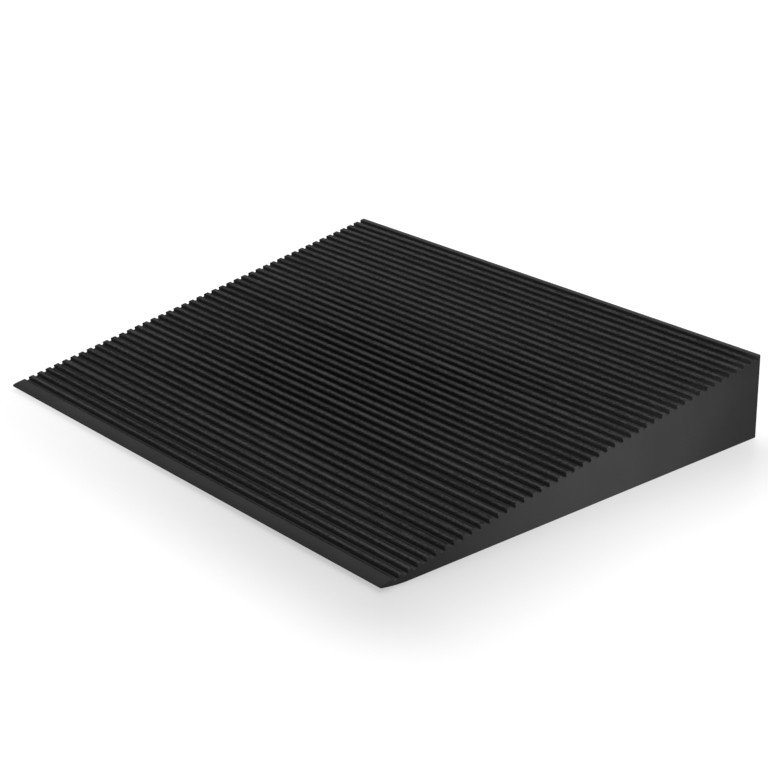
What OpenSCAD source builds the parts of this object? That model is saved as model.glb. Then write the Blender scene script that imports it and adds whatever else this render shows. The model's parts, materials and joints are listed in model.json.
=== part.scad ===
// Threshold ramp: a rubber-skinned wedge with a ribbed tread, built up on a foam core.
// The nose points along -Y, the high rear face along +Y, and the underside rests on Z = 0.

/* [Ramp] */
// Width across the doorway
ramp_width = 900; // [700:10:1100]
// Length from the tip of the nose to the rear face
ramp_length = 720; // [620:10:840]
// Height of the rear top edge
ramp_height = 130; // [110:1:150]

/* [Nose] */
// Height of the tip above the floor
toe_lift = 5.5; // [3:0.1:7]
// Length of underside that curves up to the tip
toe_run = 60; // [40:1:80]
// Thickness of the tip's front edge
tip_thickness = 1.2; // [0.8:0.1:2.5]
// Drop of the tip's top edge below the line of the rib tops
tip_drop = 2; // [1:0.1:3]
// Radius that rounds the smooth strip down to the tip
nose_round = 35; // [20:1:50]
// Width of the smooth strip ahead of the first groove, along the slope
nose_strip = 22; // [16:0.5:30]
// Length of the solid rubber nose, up to where the core starts
nose_length = 90; // [80:1:130]

/* [Tread] */
// Number of ribs behind the smooth strip
rib_count = 45; // [36:1:54]
// Width of the last rib, which edges the rear face
rear_rib = 7; // [4:0.1:9]
// Width of each groove
groove_width = 8; // [6:0.1:9.5]
// Depth of each groove
groove_depth = 5; // [3.5:0.1:6.5]
// Rounding of the rib edges
rib_round = 1.5; // [0.6:0.1:2]
// Fillet along the foot of each rib
groove_fillet = 1; // [0.4:0.1:1.5]
// Rubber left under the grooves
tread_floor = 6; // [4:0.1:8]

/* [Skins] */
// Thickness of the non-slip base
base_thickness = 4; // [3:0.1:6]
// Thickness of the rear facing
rear_thickness = 4; // [2:0.1:6]
// Thickness of each side skin
side_thickness = 3; // [2:0.1:5]

/* [Edges] */
// Rounding of the tread along both sides
side_round = 2; // [1:0.1:3]
// Rounding of the upright corners
corner_round = 2.5; // [1:0.1:3.5]
// Rounding of the lower edge along both sides
foot_round = 1.5; // [0.5:0.1:2.5]
// Rounding of the lower edge along the rear
heel_round = 3; // [1:0.1:3.5]

/* [Hidden] */

$fn = 64;
// The toe's wide arc takes finer steps
toe_steps = 360;
// How far a cut runs past the faces that it opens
overrun = 1;

rubber_colour = [0.17, 0.17, 0.175];
foam_colour = [0.3, 0.3, 0.31];

// The slope is the line of the rib tops, from above the tip to the rear top edge
nose_height = toe_lift + tip_thickness + tip_drop;
slope_rise = ramp_height - nose_height;
slope_angle = atan2(slope_rise, ramp_length);
slope_length = norm([ramp_length, slope_rise]);

// Ribs and grooves alternate along the slope, ending in the rear rib
groove_pitch = (slope_length - nose_strip - rear_rib - groove_width) / (rib_count - 1);
tread_thickness = groove_depth + tread_floor;

// Arc of the underside: it leaves the floor level at toe_run and reaches toe_lift at the tip
toe_radius = (toe_run * toe_run + toe_lift * toe_lift) / (2 * toe_lift);

// Arc of the smooth strip: it leaves the slope level with it and meets the top of the tip
nose_turn = acos(1 - tip_drop * cos(slope_angle) / nose_round);
nose_round_start = nose_round * sin(nose_turn) - tip_drop * sin(slope_angle);

// The core lies between the solid nose and the rear facing, in equal layers cut to the slope
core_layers = 3;
core_width = ramp_width - 2 * side_thickness;
core_end = ramp_length - rear_thickness;
layer_thickness = (tread_underside(core_end) - base_thickness) / core_layers;

// Heights on the side view, at a distance from the tip
function rib_tops(run) = nose_height + run * tan(slope_angle);
function tread_underside(run) = rib_tops(run) - tread_thickness / cos(slope_angle);

// Stands a side view (length, height) upright and gives it a width, centred on the ramp
module across(width) {
    translate([0, -ramp_length / 2, 0])
        rotate([90, 0, 90])
            linear_extrude(height = width, center = true)
                children();
}

// Places a shape drawn along and square to the slope on the side view
module on_slope() {
    translate([0, nose_height])
        rotate(slope_angle)
            children();
}

// The corner left outside a quarter circle that rounds off a square corner at the origin
module corner_2d(radius) {
    difference() {
        square(radius);
        translate([radius, radius])
            circle(r = radius);
    }
}

// One groove with a filleted foot, its edges flaring out to round the ribs beside it
module groove_2d() {
    difference() {
        translate([0, -groove_depth])
            square([groove_width, groove_depth + overrun]);
        translate([0, -groove_depth])
            corner_2d(groove_fillet);
        translate([groove_width, -groove_depth])
            mirror([1, 0])
                corner_2d(groove_fillet);
    }
    rotate(180)
        corner_2d(rib_round);
    translate([groove_width, 0])
        mirror([0, 1])
            corner_2d(rib_round);
}

module grooves_2d() {
    on_slope()
        for (i = [0 : rib_count - 1])
            translate([nose_strip + i * groove_pitch, 0])
                groove_2d();
}

// What the smooth strip's rounding takes off the slope ahead of where it starts
module nose_cut_2d() {
    on_slope()
        difference() {
            translate([-nose_round_start, -nose_round])
                square([2 * nose_round_start, nose_round + overrun]);
            translate([nose_round_start, -nose_round])
                circle(r = nose_round);
        }
}

// The clearance under the upturned toe
module toe_cut_2d() {
    difference() {
        translate([-overrun, -overrun])
            square([toe_run + overrun, toe_lift + overrun]);
        translate([toe_run, toe_radius])
            circle(r = toe_radius, $fn = toe_steps);
    }
}

// Side view of the tread before its grooves: an even mat that ends in the solid nose
module tread_blank_2d() {
    polygon([
        [0, 0],
        [nose_length, 0],
        [nose_length, tread_underside(nose_length)],
        [ramp_length, tread_underside(ramp_length)],
        [ramp_length, ramp_height],
        [0, nose_height],
    ]);
}

module tread_2d() {
    difference() {
        tread_blank_2d();
        grooves_2d();
        nose_cut_2d();
        toe_cut_2d();
    }
}

// Side view of the space between the base and the tread, over a stretch of the length
module filling_2d(from, to) {
    polygon([
        [from, base_thickness],
        [to, base_thickness],
        [to, tread_underside(to)],
        [from, tread_underside(from)],
    ]);
}

// The outline of a cross-section from the line y = 0 upwards, its two lower corners rounded
module round_footed_2d(height, radius) {
    difference() {
        translate([-ramp_width / 2, 0])
            square([ramp_width, height]);
        translate([-ramp_width / 2, 0])
            corner_2d(radius);
        translate([ramp_width / 2, 0])
            mirror([1, 0])
                corner_2d(radius);
    }
}

// Room for all that lies under the plane of the rib tops, with both side edges rounded
module under_rib_tops() {
    translate([0, ramp_length / 2, ramp_height])
        rotate([90 + slope_angle, 0, 0])
            translate([0, 0, -ramp_height])
                linear_extrude(height = slope_length + 2 * ramp_height)
                    mirror([0, 1])
                        round_footed_2d(2 * ramp_height, side_round);
}

// Room for all that stands on the floor, with both lower side edges rounded
module above_floor() {
    rotate([90, 0, 0])
        linear_extrude(height = ramp_length, center = true)
            round_footed_2d(ramp_height, foot_round);
}

// Room inside the plan, with its four upright corners rounded
module inside_plan() {
    linear_extrude(height = ramp_height)
        difference() {
            square([ramp_width, ramp_length], center = true);
            for (x = [0, 1], y = [0, 1])
                mirror([x, 0])
                    mirror([0, y])
                        translate([-ramp_width / 2, -ramp_length / 2])
                            corner_2d(corner_round);
        }
}

// Ribbed rubber tread with its solid nose
module tread_mat() {
    color(rubber_colour)
        intersection() {
            across(ramp_width)
                tread_2d();
            under_rib_tops();
            above_floor();
            inside_plan();
        }
}

// One foam sheet of the core, counted from the lowest
module core_layer(index) {
    layer_bottom = base_thickness + index * layer_thickness;
    color(foam_colour)
        across(core_width)
            intersection() {
                filling_2d(nose_length, core_end);
                translate([nose_length, layer_bottom])
                    square([core_end - nose_length, layer_thickness]);
            }
}

module core_lower() {
    core_layer(0);
}

module core_middle() {
    core_layer(1);
}

module core_upper() {
    core_layer(2);
}

// Rubber base behind the solid nose, rounded under the rear face
module base_mat() {
    color(rubber_colour)
        intersection() {
            across(ramp_width)
                difference() {
                    translate([nose_length, 0])
                        square([ramp_length - nose_length, base_thickness]);
                    translate([ramp_length, 0])
                        mirror([1, 0])
                            corner_2d(heel_round);
                }
            above_floor();
            inside_plan();
        }
}

// Rubber facing of the high rear face, between the base and the tread
module rear_facing() {
    color(rubber_colour)
        intersection() {
            across(ramp_width)
                filling_2d(core_end, ramp_length);
            inside_plan();
        }
}

// Rubber skin over one side of the core
module side_skin(side) {
    color(rubber_colour)
        intersection() {
            translate([side * (ramp_width - side_thickness) / 2, 0, 0])
                across(side_thickness)
                    filling_2d(nose_length, core_end);
            inside_plan();
        }
}

module left_side_skin() {
    side_skin(-1);
}

module right_side_skin() {
    side_skin(1);
}

tread_mat();
core_lower();
core_middle();
core_upper();
base_mat();
rear_facing();
left_side_skin();
right_side_skin();
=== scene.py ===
import json
import math

import bpy
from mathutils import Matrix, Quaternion, Vector


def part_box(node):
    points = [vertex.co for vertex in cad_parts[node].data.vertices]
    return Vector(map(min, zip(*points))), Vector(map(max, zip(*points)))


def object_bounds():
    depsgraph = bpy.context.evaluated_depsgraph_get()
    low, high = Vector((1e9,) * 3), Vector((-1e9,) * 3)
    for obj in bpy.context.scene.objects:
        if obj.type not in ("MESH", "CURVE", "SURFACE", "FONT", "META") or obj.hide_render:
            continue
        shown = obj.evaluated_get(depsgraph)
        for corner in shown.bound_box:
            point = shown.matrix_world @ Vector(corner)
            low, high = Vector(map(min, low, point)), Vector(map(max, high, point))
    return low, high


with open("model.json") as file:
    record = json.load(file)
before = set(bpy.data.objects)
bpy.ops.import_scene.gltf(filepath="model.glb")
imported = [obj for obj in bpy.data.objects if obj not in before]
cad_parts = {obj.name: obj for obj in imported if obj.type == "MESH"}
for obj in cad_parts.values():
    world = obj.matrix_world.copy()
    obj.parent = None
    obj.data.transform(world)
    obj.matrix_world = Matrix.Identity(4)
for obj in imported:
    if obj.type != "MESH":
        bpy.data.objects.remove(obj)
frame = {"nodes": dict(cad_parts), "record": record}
cad_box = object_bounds()

# Camera, in metres and degrees: round the ramp's middle, a little turned about its own axis
CAMERA_AIM = Vector((0.0003, 0.0262, 0.0398))
CAMERA_AZIMUTH = 50.067
CAMERA_ELEVATION = 22.103
CAMERA_DISTANCE = 2.9537
CAMERA_ROLL = -0.775
CAMERA_LENS_MM = 90.97

# Light: an even room, a broad light from high behind and to the left, and a low strip with a narrow beam
# beside the right side
WHITE = (1.0, 1.0, 1.0, 1.0)
ROOM_LIGHT = 0.45
KEY_FROM = Vector((-0.35, 0.75, 1.9))
KEY_STRENGTH = 1.5
KEY_WIDTH = math.radians(60.0)
SIDE_PLACE = Vector((1.2, 0.05, 0.07))
SIDE_SIZE = (0.34, 0.08)
SIDE_WATTS = 1.08
SIDE_BEAM = math.radians(65.0)

# Floor: it glows white to the eye, and less in a painted soft grey shade that lies ahead of the nose and
# beside the right side, fades to the left and towards the rear, and ends just behind the rear face
FLOOR_SPAN = 12.0
FLOOR_COLOUR = (0.22, 0.22, 0.22, 1.0)
FLOOR_ROUGHNESS = 0.35
FLOOR_SPECULAR = 0.1
FLOOR_GLOW = 0.81
SHADE_GLOW = 0.51
SHADE_REACH = (0.25, 0.19)
SHADE_START_X = (-0.75, 0.36)
SHADE_EASE_Y = (-0.4, 0.1)
SHADE_AT_REAR = 0.65
SHADE_END_Y = (0.3, 0.42)

# Rubber and foam, as linear colours
SMOOTH_DARK = (0.026, 0.026, 0.0263, 1.0)
SMOOTH_PALE = (0.032, 0.032, 0.0323, 1.0)
CREST_DARK = (0.016, 0.016, 0.0162, 1.0)
CREST_PALE = (0.048, 0.048, 0.0484, 1.0)
# Grooves: the black is painted shade, and the pale colour is painted light near the tread's edges and rear
GROOVE_BLACK = (0.0075, 0.0075, 0.0076, 1.0)
GROOVE_PAINTED_LIGHT = (0.058, 0.058, 0.0585, 1.0)
SCUFFED = (0.042, 0.042, 0.0424, 1.0)
BASE_DARK = (0.02, 0.02, 0.0202, 1.0)
BASE_PALE = (0.03, 0.03, 0.0303, 1.0)
FOAM_DARK = (0.05, 0.05, 0.051, 1.0)
FOAM_PALE = (0.09, 0.09, 0.092, 1.0)
RUBBER_SPECULAR = 0.035
FOAM_SPECULAR = 0.2

# Roughness: from the grooves to the rubbed rib tops, and elsewhere from the dark to the pale tone
RIBBED_ROUGHNESS = (0.74, 0.54)
SMOOTH_ROUGHNESS = (0.58, 0.48)
BASE_ROUGHNESS = (0.8, 0.65)
FOAM_ROUGHNESS = (0.95, 0.8)

# Tone: clouds and flecks per metre, the share of the flecks, and the part of the noise that is stretched to
# the whole range from dark to pale
CLOUD_SCALE = 9.0
FLECK_SCALE = 420.0
FLECK_SHARE = 0.3
SMOOTH_FLECK_SCALE = 500.0
SMOOTH_FLECK_SHARE = 0.4
BASE_FLECK_SCALE = 250.0
FOAM_CLOUD_SCALE = 20.0
FOAM_FLECK_SCALE = 700.0
FOAM_FLECK_SHARE = 0.6
TONE_RANGE = (0.3, 0.7)
MIDDLE_TONE = 0.5

# Grain: pebbles or cells and waves per metre, the share of the waves, and bumps as (distance, strength)
PEBBLE_SCALE = 700.0
PEBBLE_SMOOTHNESS = 0.6
WAVE_SCALE = 14.0
WAVE_SHARE = 0.5
GRAIN_BUMP = (0.0004, 0.3)
BASE_PEBBLE_SCALE = 320.0
BASE_WAVE_SHARE = 0.15
BASE_EDGE_GRAIN = 0.25
BASE_BUMP = (0.001, 0.5)
FOAM_CELL_SCALE = 600.0
FOAM_WAVE_SHARE = 0.0
FOAM_BUMP = (0.001, 0.6)

# How squarely a surface faces along an axis, from a rounded edge to one of the flat sides
SQUARE_FACING = (0.5, 0.9)
# Scuffs: facing from flat to rounded, breaks per metre, and the part of the noise that becomes the breaks
EDGE_FACING = (0.96, 0.8)
SCUFF_SCALE = 60.0
SCUFF_RANGE = (0.4, 0.7)

# The tread's sizes: height of the line of the rib tops at the tip, start of the first groove, width and
# depth of each groove, number of ribs, rounding of their edges, and width of the rear rib
NOSE_HEIGHT = 0.0087
GROOVE_START = 0.022
GROOVE_WIDTH = 0.008
GROOVE_DEPTH = 0.005
RIB_COUNT = 45
RIB_ROUND = 0.0015
REAR_RIB = 0.007
# Length over which the smooth strip gives way to the ribs, and thickness that counts as the rear face
STRIP_EASE = 0.001
REAR_DEPTH = 0.0003
# Share of the groove's depth over which the tone of the rib tops fades
CREST_SHARE = 0.95

# Rubbing of the rib tops: one share for each rib, streaks along it, fine flecks, a paler top on the rear
# rib, and the range of their sum that goes from dark to pale
RIB_STRETCH = (0.03, 1.0, 1.0)
RIB_SCALE = 60.0
RIB_WEIGHT = 0.75
STREAK_STRETCH = (1.0, 14.0, 14.0)
STREAK_SCALE = 34.0
RUB_FLECK_SCALE = 280.0
RUB_FLECK_WEIGHT = 1.4
REAR_RIB_PALER = 0.55
RUB_RANGE = (1.255, 1.895)

# Painted shade in the corner at the foot of each rib's front face: the share of the grooves' painted light
# from the foot outwards, over a range of distance
FOOT_REACH = (0.0, 0.0045)
FOOT_PAINTED_SHADE = (0.43, 1.4)
# Painted shade and light in the grooves: the field where they stay black as painted shade, its middle, its
# half width and half length, and the share of them at which the painted light starts and is full
DARK_FIELD_PLACE = Vector((0.0, -0.04, 0.0))
DARK_FIELD_REACH = (0.45, 0.3)
DARK_TO_LIT = (0.12, 1.1)
# How far clouds shift the field's edge, and how much stronger the painted light is over a stretch along Y
# to the rear
FIELD_EDGE_CLOUDS = 0.22
REAR_LIGHT_Y = (0.0, 0.3)
REAR_LIGHT = (1.0, 1.6)

# Places of the two inputs and the result among the mix node's sockets, where they share their names
VALUE_SOCKETS = (2, 3, 0)
COLOUR_SOCKETS = (6, 7, 2)


def fill(tree, socket, value):
    """Links a socket to another node's output, or sets it to a plain value."""
    if isinstance(value, bpy.types.NodeSocket):
        tree.links.new(value, socket)
    else:
        socket.default_value = value


def add_node(tree, kind, inputs=None, **options):
    """Adds a node with its options set and its named inputs filled."""
    made = tree.nodes.new(kind)
    for name, value in options.items():
        setattr(made, name, value)
    for name, value in (inputs or {}).items():
        fill(tree, made.inputs[name], value)
    return made


def add_sum(tree, kind, operation, values):
    """Adds a node that works on values in order, and gives its outputs."""
    made = add_node(tree, kind, operation=operation)
    for socket, value in zip(made.inputs, values):
        fill(tree, socket, value)
    return made.outputs


def calculate(tree, operation, *values):
    """A sum on one or two values."""
    return add_sum(tree, "ShaderNodeMath", operation, values)["Value"]


def calculate_vector(tree, operation, *values):
    """A sum on one or two vectors, whose result is a vector."""
    return add_sum(tree, "ShaderNodeVectorMath", operation, values)["Vector"]


def measure_vector(tree, operation, *values):
    """A sum on one or two vectors, whose result is a value."""
    return add_sum(tree, "ShaderNodeVectorMath", operation, values)["Value"]


def parts_of(tree, vector):
    """The X, Y and Z of a vector."""
    return add_node(tree, "ShaderNodeSeparateXYZ", {"Vector": vector}).outputs


def remap(tree, value, source, target=(0.0, 1.0)):
    """Carries a value from one range to another, eased and held at both ends."""
    inputs = {
        "Value": value,
        "From Min": source[0],
        "From Max": source[1],
        "To Min": target[0],
        "To Max": target[1],
    }
    return add_node(tree, "ShaderNodeMapRange", inputs, interpolation_type="SMOOTHSTEP").outputs["Result"]


def noise(tree, place, scale, detail=3.0, roughness=0.55):
    """Even noise from 0 to 1 at a number of blotches per metre."""
    inputs = {"Vector": place, "Scale": scale, "Detail": detail, "Roughness": roughness}
    return add_node(tree, "ShaderNodeTexNoise", inputs).outputs["Fac"]


def stretch(tree, place, scale):
    """Object coordinates squeezed or stretched along each axis."""
    return add_node(tree, "ShaderNodeMapping", {"Vector": place, "Scale": scale}).outputs["Vector"]


def blend(tree, kind, sockets, factor, first, second):
    """A mix of two inputs of one kind, at the given places among the node's sockets."""
    first_at, second_at, result_at = sockets
    made = add_node(tree, "ShaderNodeMix", {"Factor": factor}, data_type=kind)
    fill(tree, made.inputs[first_at], first)
    fill(tree, made.inputs[second_at], second)
    return made.outputs[result_at]


def blend_values(tree, factor, first, second):
    """A value between two values."""
    return blend(tree, "FLOAT", VALUE_SOCKETS, factor, first, second)


def blend_colours(tree, factor, first, second):
    """A colour between two colours."""
    return blend(tree, "RGBA", COLOUR_SOCKETS, factor, first, second)


def shares_of(tree, offset, reach):
    """An offset in plan as shares of a reach along X and along Y."""
    return calculate_vector(tree, "MULTIPLY", offset, Vector((1.0 / reach[0], 1.0 / reach[1], 0.0)))


def share_of_field(tree, place, middle, reach):
    """Distance in plan from the middle of a rectangle with very round corners, 1 all along its edge."""
    shares = shares_of(tree, calculate_vector(tree, "SUBTRACT", place, middle), reach)
    squares = calculate_vector(tree, "MULTIPLY", shares, shares)
    return calculate(tree, "SQRT", measure_vector(tree, "LENGTH", squares))


def size_of_normal(tree):
    """How far the surface faces along X, Y and Z, either way."""
    normal = add_node(tree, "ShaderNodeNewGeometry").outputs["Normal"]
    return parts_of(tree, calculate_vector(tree, "ABSOLUTE", normal))


def cloudy_tone(tree, place, cloud_scale, fleck_scale, fleck_share):
    """Clouds with fine flecks in them, from 0 for dark to 1 for pale."""
    cloud = noise(tree, place, cloud_scale, detail=4.0)
    fleck = noise(tree, place, fleck_scale, detail=2.0)
    return remap(tree, blend_values(tree, fleck_share, cloud, fleck), TONE_RANGE)


def bump(tree, height, size):
    """A normal bent by a height, for a size of (distance, strength)."""
    distance, strength = size
    inputs = {"Height": height, "Distance": distance, "Strength": strength}
    return add_node(tree, "ShaderNodeBump", inputs).outputs["Normal"]


def new_group(name, inputs, outputs):
    """An empty shader node group with named inputs (kind, value) and outputs (kind)."""
    tree = bpy.data.node_groups.new(name, "ShaderNodeTree")
    for label, (kind, value) in inputs.items():
        socket = tree.interface.new_socket(label, in_out="INPUT", socket_type=kind)
        if value is not None:
            socket.default_value = value
    for label, kind in outputs.items():
        tree.interface.new_socket(label, in_out="OUTPUT", socket_type=kind)
    return tree, tree.nodes.new("NodeGroupInput").outputs, tree.nodes.new("NodeGroupOutput").inputs


def mottle_group():
    """Cloudy change of tone with fine flecks, from the press and from handling."""
    inputs = {
        "Place": ("NodeSocketVector", None),
        "Cloud Scale": ("NodeSocketFloat", CLOUD_SCALE),
        "Fleck Scale": ("NodeSocketFloat", FLECK_SCALE),
        "Fleck Share": ("NodeSocketFloat", FLECK_SHARE),
    }
    tree, given, result = new_group("rubber_mottle", inputs, {"Tone": "NodeSocketFloat"})
    scales = (given["Cloud Scale"], given["Fleck Scale"])
    fill(tree, result["Tone"], cloudy_tone(tree, given["Place"], *scales, given["Fleck Share"]))
    return tree


def smooth_group():
    """Colour and roughness of smooth moulded rubber, as on the sides, the rear and the nose."""
    inputs = {"Place": ("NodeSocketVector", None)}
    outputs = {"Colour": "NodeSocketColor", "Roughness": "NodeSocketFloat"}
    tree, given, result = new_group("smooth_rubber", inputs, outputs)
    tone = cloudy_tone(tree, given["Place"], CLOUD_SCALE, SMOOTH_FLECK_SCALE, SMOOTH_FLECK_SHARE)
    fill(tree, result["Colour"], blend_colours(tree, tone, SMOOTH_DARK, SMOOTH_PALE))
    fill(tree, result["Roughness"], remap(tree, tone, (0.0, 1.0), SMOOTH_ROUGHNESS))
    return tree


def grain_group():
    """Height of the fine pebbled grain that a mould leaves on rubber."""
    inputs = {
        "Place": ("NodeSocketVector", None),
        "Pebble Scale": ("NodeSocketFloat", PEBBLE_SCALE),
        "Wave Share": ("NodeSocketFloat", WAVE_SHARE),
    }
    tree, given, result = new_group("rubber_grain", inputs, {"Height": "NodeSocketFloat"})
    pebble_inputs = {
        "Vector": given["Place"],
        "Scale": given["Pebble Scale"],
        "Smoothness": PEBBLE_SMOOTHNESS,
    }
    pebble = add_node(tree, "ShaderNodeTexVoronoi", pebble_inputs, feature="SMOOTH_F1").outputs["Distance"]
    wave = noise(tree, given["Place"], WAVE_SCALE, detail=1.0)
    fill(tree, result["Height"], blend_values(tree, given["Wave Share"], pebble, wave))
    return tree


def scuff_group():
    """Mask of the rounded edges, which face between the flat sides, broken up as handling rubs them."""
    inputs = {"Place": ("NodeSocketVector", None)}
    tree, given, result = new_group("edge_scuff", inputs, {"Mask": "NodeSocketFloat"})
    facing = size_of_normal(tree)
    squarest = calculate(tree, "MAXIMUM", calculate(tree, "MAXIMUM", facing["X"], facing["Y"]), facing["Z"])
    edge = remap(tree, squarest, EDGE_FACING)
    broken = remap(tree, noise(tree, given["Place"], SCUFF_SCALE), SCUFF_RANGE)
    fill(tree, result["Mask"], calculate(tree, "MULTIPLY", edge, broken))
    return tree


def place_group(tree, group, place, **values):
    """Puts a shared effect into a material with its own values."""
    made = tree.nodes.new("ShaderNodeGroup")
    made.node_tree = group
    fill(tree, made.inputs["Place"], place)
    for name, value in values.items():
        fill(tree, made.inputs[name.replace("_", " ").title()], value)
    return made.outputs


def new_material(name, specular):
    """A material with a principled shader and object coordinates to work from."""
    material = bpy.data.materials.new(name)
    material.use_nodes = True
    tree = material.node_tree
    tree.nodes.clear()
    shader = add_node(tree, "ShaderNodeBsdfPrincipled", {"Specular IOR Level": specular})
    add_node(tree, "ShaderNodeOutputMaterial", {"Surface": shader.outputs["BSDF"]})
    place = add_node(tree, "ShaderNodeTexCoord").outputs["Object"]
    return material, tree, shader.inputs, place


def place_on_slope(tree, place):
    """Distances along the slope from the tip, and down from the plane of the rib tops, in metres."""
    low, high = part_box("tread_mat")
    slope = math.atan2(high.z - NOSE_HEIGHT, high.y - low.y)
    tip = Vector((0.0, low.y, NOSE_HEIGHT))
    from_tip = calculate_vector(tree, "SUBTRACT", place, tip)
    up_slope = Vector((0.0, math.cos(slope), math.sin(slope)))
    into_slope = Vector((0.0, math.sin(slope), -math.cos(slope)))
    along = measure_vector(tree, "DOT_PRODUCT", from_tip, up_slope)
    depth = measure_vector(tree, "DOT_PRODUCT", from_tip, into_slope)
    return along, depth


def distance_from_foot(tree, along, depth):
    """Distance across the groove from the foot of the rib behind it, in metres."""
    low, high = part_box("tread_mat")
    slope_length = math.hypot(high.y - low.y, high.z - NOSE_HEIGHT)
    pitch = (slope_length - GROOVE_START - REAR_RIB - GROOVE_WIDTH) / (RIB_COUNT - 1)
    in_groove = calculate(tree, "FLOORED_MODULO", calculate(tree, "SUBTRACT", along, GROOVE_START), pitch)
    from_face = calculate(tree, "SUBTRACT", in_groove, GROOVE_WIDTH)
    from_floor = calculate(tree, "SUBTRACT", depth, GROOVE_DEPTH)
    offset = add_node(tree, "ShaderNodeCombineXYZ", {"X": from_face, "Y": from_floor})
    return measure_vector(tree, "LENGTH", offset.outputs["Vector"])


def rib_wear(tree, place):
    """How far the rib tops are rubbed, from 0 for dark to 1 for pale."""
    one_rib = noise(tree, stretch(tree, place, RIB_STRETCH), RIB_SCALE, detail=1.0)
    each_rib = calculate(tree, "MULTIPLY", one_rib, RIB_WEIGHT)
    streak = noise(tree, stretch(tree, place, STREAK_STRETCH), STREAK_SCALE, detail=4.0)
    fleck = calculate(tree, "MULTIPLY", noise(tree, place, RUB_FLECK_SCALE, detail=2.0), RUB_FLECK_WEIGHT)
    # The rear rib's top is made paler than the others
    rear_rib_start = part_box("tread_mat")[1].y - REAR_RIB
    rear_ease = (rear_rib_start - REAR_RIB / 2, rear_rib_start)
    rear_rib_paler = remap(tree, parts_of(tree, place)["Y"], rear_ease, (0.0, REAR_RIB_PALER))
    rib_and_streak = calculate(tree, "ADD", each_rib, streak)
    fleck_and_rear = calculate(tree, "ADD", fleck, rear_rib_paler)
    return remap(tree, calculate(tree, "ADD", rib_and_streak, fleck_and_rear), RUB_RANGE)


def groove_painted_light(tree, place, tone):
    """Painted light down in the grooves: none in the middle of the dark field, most near the tread's edges
    and towards the rear.
    """
    share = share_of_field(tree, place, DARK_FIELD_PLACE, DARK_FIELD_REACH)
    clouds = calculate(tree, "MULTIPLY", calculate(tree, "SUBTRACT", tone, MIDDLE_TONE), FIELD_EDGE_CLOUDS)
    groove_light = remap(tree, calculate(tree, "ADD", share, clouds), DARK_TO_LIT)
    stronger_to_rear = remap(tree, parts_of(tree, place)["Y"], REAR_LIGHT_Y, REAR_LIGHT)
    return calculate(tree, "MULTIPLY", groove_light, stronger_to_rear)


def ribbed_look(tree, place, along, depth, tone):
    """Colour and roughness of the ribs, rubbed unevenly on top, and of the grooves, with painted shade and
    painted light in them.
    """
    top = remap(tree, depth, (0.0, CREST_SHARE * GROOVE_DEPTH), (1.0, 0.0))
    worn = rib_wear(tree, place)
    # The corner at the foot of each rib's front is darkened: painted shade
    foot_painted_shade = remap(tree, distance_from_foot(tree, along, depth), FOOT_REACH, FOOT_PAINTED_SHADE)
    groove_light = calculate(tree, "MULTIPLY", groove_painted_light(tree, place, tone), foot_painted_shade)
    # Grooves are black where painted shade lies and pale where painted light lies
    groove = blend_colours(tree, groove_light, GROOVE_BLACK, GROOVE_PAINTED_LIGHT)
    crest = blend_colours(tree, worn, CREST_DARK, CREST_PALE)
    colour = blend_colours(tree, top, groove, crest)
    roughness = remap(tree, calculate(tree, "ADD", worn, top), (0.0, 2.0), RIBBED_ROUGHNESS)
    return colour, roughness


def smooth_parts(tree, place, along):
    """Mask of the tread's smooth surfaces: the strip ahead of the grooves, both flanks and the rear end."""
    strip_end = GROOVE_START - RIB_ROUND
    strip = remap(tree, along, (strip_end, strip_end - STRIP_EASE))
    flank = remap(tree, size_of_normal(tree)["X"], SQUARE_FACING)
    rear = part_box("tread_mat")[1].y
    end = remap(tree, parts_of(tree, place)["Y"], (rear - REAR_DEPTH, rear))
    return calculate(tree, "MAXIMUM", calculate(tree, "MAXIMUM", strip, flank), end)


def tread_rubber(effects):
    """Moulded tread: satin ribs and grooves with painted light and shade, behind a smooth strip, between
    smooth flanks.
    """
    material, tree, shader, place = new_material("tread_rubber", RUBBER_SPECULAR)
    along, depth = place_on_slope(tree, place)
    tone = place_group(tree, effects["mottle"], place)["Tone"]
    ribbed_colour, ribbed_roughness = ribbed_look(tree, place, along, depth, tone)
    smooth = place_group(tree, effects["smooth"], place)
    smooth_mask = smooth_parts(tree, place, along)
    fill(tree, shader["Base Color"], blend_colours(tree, smooth_mask, ribbed_colour, smooth["Colour"]))
    fill(tree, shader["Roughness"], blend_values(tree, smooth_mask, ribbed_roughness, smooth["Roughness"]))
    height = place_group(tree, effects["grain"], place)["Height"]
    fill(tree, shader["Normal"], bump(tree, height, GRAIN_BUMP))
    return material


def skin_rubber(effects):
    """Smooth rubber sheet of the sides and the rear, scuffed at the upright corners."""
    material, tree, shader, place = new_material("skin_rubber", RUBBER_SPECULAR)
    smooth = place_group(tree, effects["smooth"], place)
    scuff = place_group(tree, effects["scuff"], place)["Mask"]
    fill(tree, shader["Base Color"], blend_colours(tree, scuff, smooth["Colour"], SCUFFED))
    fill(tree, shader["Roughness"], smooth["Roughness"])
    height = place_group(tree, effects["grain"], place)["Height"]
    fill(tree, shader["Normal"], bump(tree, height, GRAIN_BUMP))
    return material


def base_grain(tree, effects, place, under):
    """Height of the base's grain: faint round its edge and a coarse pebble underneath."""
    grain = effects["grain"]
    fine = calculate(tree, "MULTIPLY", place_group(tree, grain, place)["Height"], BASE_EDGE_GRAIN)
    pebbles = {"pebble_scale": BASE_PEBBLE_SCALE, "wave_share": BASE_WAVE_SHARE}
    coarse = place_group(tree, grain, place, **pebbles)["Height"]
    return blend_values(tree, under, fine, coarse)


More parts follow.
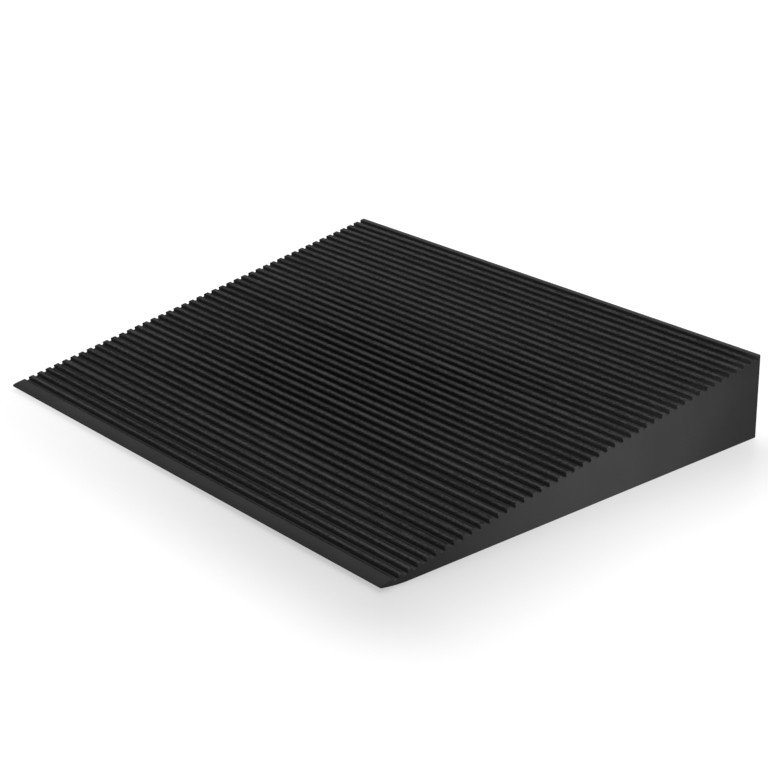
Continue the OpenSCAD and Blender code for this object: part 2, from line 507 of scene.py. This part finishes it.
def base_rubber(effects):
    """Non-slip base: smooth round its edge, with a coarse matt pebble underneath."""
    material, tree, shader, place = new_material("base_rubber", RUBBER_SPECULAR)
    under = remap(tree, size_of_normal(tree)["Z"], SQUARE_FACING)
    tone = place_group(tree, effects["mottle"], place, fleck_scale=BASE_FLECK_SCALE)["Tone"]
    smooth = place_group(tree, effects["smooth"], place)
    scuff = place_group(tree, effects["scuff"], place)["Mask"]
    pebbled = blend_colours(tree, tone, BASE_DARK, BASE_PALE)
    plain = blend_colours(tree, under, smooth["Colour"], pebbled)
    fill(tree, shader["Base Color"], blend_colours(tree, scuff, plain, SCUFFED))
    matt = remap(tree, tone, (0.0, 1.0), BASE_ROUGHNESS)
    fill(tree, shader["Roughness"], blend_values(tree, under, smooth["Roughness"], matt))
    fill(tree, shader["Normal"], bump(tree, base_grain(tree, effects, place, under), BASE_BUMP))
    return material


def core_foam(effects):
    """Closed-cell foam: small round cells in cloudy grey."""
    material, tree, shader, place = new_material("core_foam", FOAM_SPECULAR)
    clouds = {
        "cloud_scale": FOAM_CLOUD_SCALE,
        "fleck_scale": FOAM_FLECK_SCALE,
        "fleck_share": FOAM_FLECK_SHARE,
    }
    tone = place_group(tree, effects["mottle"], place, **clouds)["Tone"]
    fill(tree, shader["Base Color"], blend_colours(tree, tone, FOAM_DARK, FOAM_PALE))
    fill(tree, shader["Roughness"], remap(tree, tone, (0.0, 1.0), FOAM_ROUGHNESS))
    cells = {"pebble_scale": FOAM_CELL_SCALE, "wave_share": FOAM_WAVE_SHARE}
    height = place_group(tree, effects["grain"], place, **cells)["Height"]
    fill(tree, shader["Normal"], bump(tree, height, FOAM_BUMP))
    return material


def dress_nodes():
    """Gives every CAD node the material of its slot."""
    effects = {
        "mottle": mottle_group(),
        "smooth": smooth_group(),
        "grain": grain_group(),
        "scuff": scuff_group(),
    }
    makers = {
        "tread_rubber": tread_rubber,
        "skin_rubber": skin_rubber,
        "base_rubber": base_rubber,
        "core_foam": core_foam,
    }
    materials = {slot: make(effects) for slot, make in makers.items()}
    for part in frame["record"]["subparts"]:
        mesh = frame["nodes"][part["node"]].data
        mesh.materials.clear()
        mesh.materials.append(materials[part["material_slot"]])


def seen_directly(tree):
    """1 for what the camera sees, straight or by reflection or through glass, and 0 for lighting."""
    path = add_node(tree, "ShaderNodeLightPath").outputs
    straight_or_mirrored = calculate(tree, "MAXIMUM", path["Is Camera Ray"], path["Is Glossy Ray"])
    return calculate(tree, "MAXIMUM", straight_or_mirrored, path["Is Transmission Ray"])


def make_room():
    """White all round to the eye, and an even soft light for the ramp."""
    world = bpy.data.worlds.new("room")
    world.use_nodes = True
    tree = world.node_tree
    tree.nodes.clear()
    light = add_node(tree, "ShaderNodeBackground", {"Color": WHITE, "Strength": ROOM_LIGHT})
    backdrop = add_node(tree, "ShaderNodeBackground", {"Color": WHITE, "Strength": 1.0})
    either = add_node(tree, "ShaderNodeMixShader", {"Fac": seen_directly(tree)})
    fill(tree, either.inputs[1], light.outputs[0])
    fill(tree, either.inputs[2], backdrop.outputs[0])
    add_node(tree, "ShaderNodeOutputWorld", {"Surface": either.outputs[0]})
    bpy.context.scene.world = world


def past_footprint(tree, place):
    """How far a point lies outside the ramp's footprint along X and along Y, in metres."""
    low, high = cad_box
    half = (high - low) / 2
    past_edges = calculate_vector(tree, "SUBTRACT", calculate_vector(tree, "ABSOLUTE", place), half)
    return calculate_vector(tree, "MAXIMUM", past_edges, Vector((0.0, 0.0, 0.0)))


def painted_floor_shade(tree, place):
    """Share of the floor's painted shade: full at the footprint on the right of the nose, none past its
    reach.
    """
    outside = measure_vector(tree, "LENGTH", shares_of(tree, past_footprint(tree, place), SHADE_REACH))
    near = remap(tree, outside, (0.0, 1.0), (1.0, 0.0))
    across = remap(tree, parts_of(tree, place)["X"], SHADE_START_X)
    towards_rear = remap(tree, parts_of(tree, place)["Y"], SHADE_EASE_Y, (1.0, SHADE_AT_REAR))
    ahead_of_rear = remap(tree, parts_of(tree, place)["Y"], SHADE_END_Y, (1.0, 0.0))
    along = calculate(tree, "MULTIPLY", towards_rear, ahead_of_rear)
    return calculate(tree, "MULTIPLY", near, calculate(tree, "MULTIPLY", across, along))


def floor_white():
    """A white that glows to the eye, less in a painted soft shade near the ramp, and keeps the ramp's
    shadow and a faint, soft reflection.
    """
    material, tree, shader, place = new_material("floor_white", FLOOR_SPECULAR)
    fill(tree, shader["Base Color"], FLOOR_COLOUR)
    fill(tree, shader["Roughness"], FLOOR_ROUGHNESS)
    fill(tree, shader["Emission Color"], WHITE)
    # The glow drops where the painted shade lies
    glow = blend_values(tree, painted_floor_shade(tree, place), FLOOR_GLOW, SHADE_GLOW)
    fill(tree, shader["Emission Strength"], calculate(tree, "MULTIPLY", seen_directly(tree), glow))
    return material


def make_floor():
    """A plain white floor, which belongs to the stage and not to the ramp."""
    half = FLOOR_SPAN / 2
    corners = [(-half, -half, 0.0), (half, -half, 0.0), (half, half, 0.0), (-half, half, 0.0)]
    mesh = bpy.data.meshes.new("floor")
    mesh.from_pydata(corners, [], [(0, 1, 2, 3)])
    mesh.materials.append(floor_white())
    floor = bpy.data.objects.new("floor", mesh)
    bpy.context.scene.collection.objects.link(floor)


def hang_lamp(name, lamp, place, aim):
    """Puts a lamp in the scene, turned towards a point and out of the camera's sight."""
    holder = bpy.data.objects.new(name, lamp)
    holder.location = place
    holder.rotation_mode = "QUATERNION"
    holder.rotation_quaternion = (aim - place).to_track_quat("-Z", "Y")
    holder.visible_camera = False
    bpy.context.scene.collection.objects.link(holder)


def make_lights():
    """The broad light from behind and the strip that brightens the middle of the right side."""
    low, high = cad_box
    middle = (low + high) / 2
    key = bpy.data.lights.new("key_light", "SUN")
    key.energy = KEY_STRENGTH
    key.angle = KEY_WIDTH
    hang_lamp("key_light", key, KEY_FROM, middle)
    side = bpy.data.lights.new("side_strip", "AREA")
    side.shape = "RECTANGLE"
    side.size, side.size_y = SIDE_SIZE
    side.energy = SIDE_WATTS
    side.spread = SIDE_BEAM
    hang_lamp("side_strip", side, SIDE_PLACE, Vector((high.x, SIDE_PLACE.y, middle.z)))


def make_camera():
    """The camera, back from its aim along its azimuth and elevation."""
    azimuth = math.radians(CAMERA_AZIMUTH)
    elevation = math.radians(CAMERA_ELEVATION)
    level = math.cos(elevation)
    back = Vector((math.sin(azimuth) * level, -math.cos(azimuth) * level, math.sin(elevation)))
    lens = bpy.data.cameras.new("camera")
    lens.lens = CAMERA_LENS_MM
    camera = bpy.data.objects.new("camera", lens)
    camera.location = CAMERA_AIM + back * CAMERA_DISTANCE
    camera.rotation_mode = "QUATERNION"
    roll = Quaternion((0.0, 0.0, 1.0), math.radians(CAMERA_ROLL))
    camera.rotation_quaternion = (-back).to_track_quat("-Z", "Y") @ roll
    bpy.context.scene.collection.objects.link(camera)
    bpy.context.scene.camera = camera


make_camera()
make_room()
make_floor()
make_lights()
dress_nodes()
bpy.context.scene.view_settings.view_transform = "Standard"
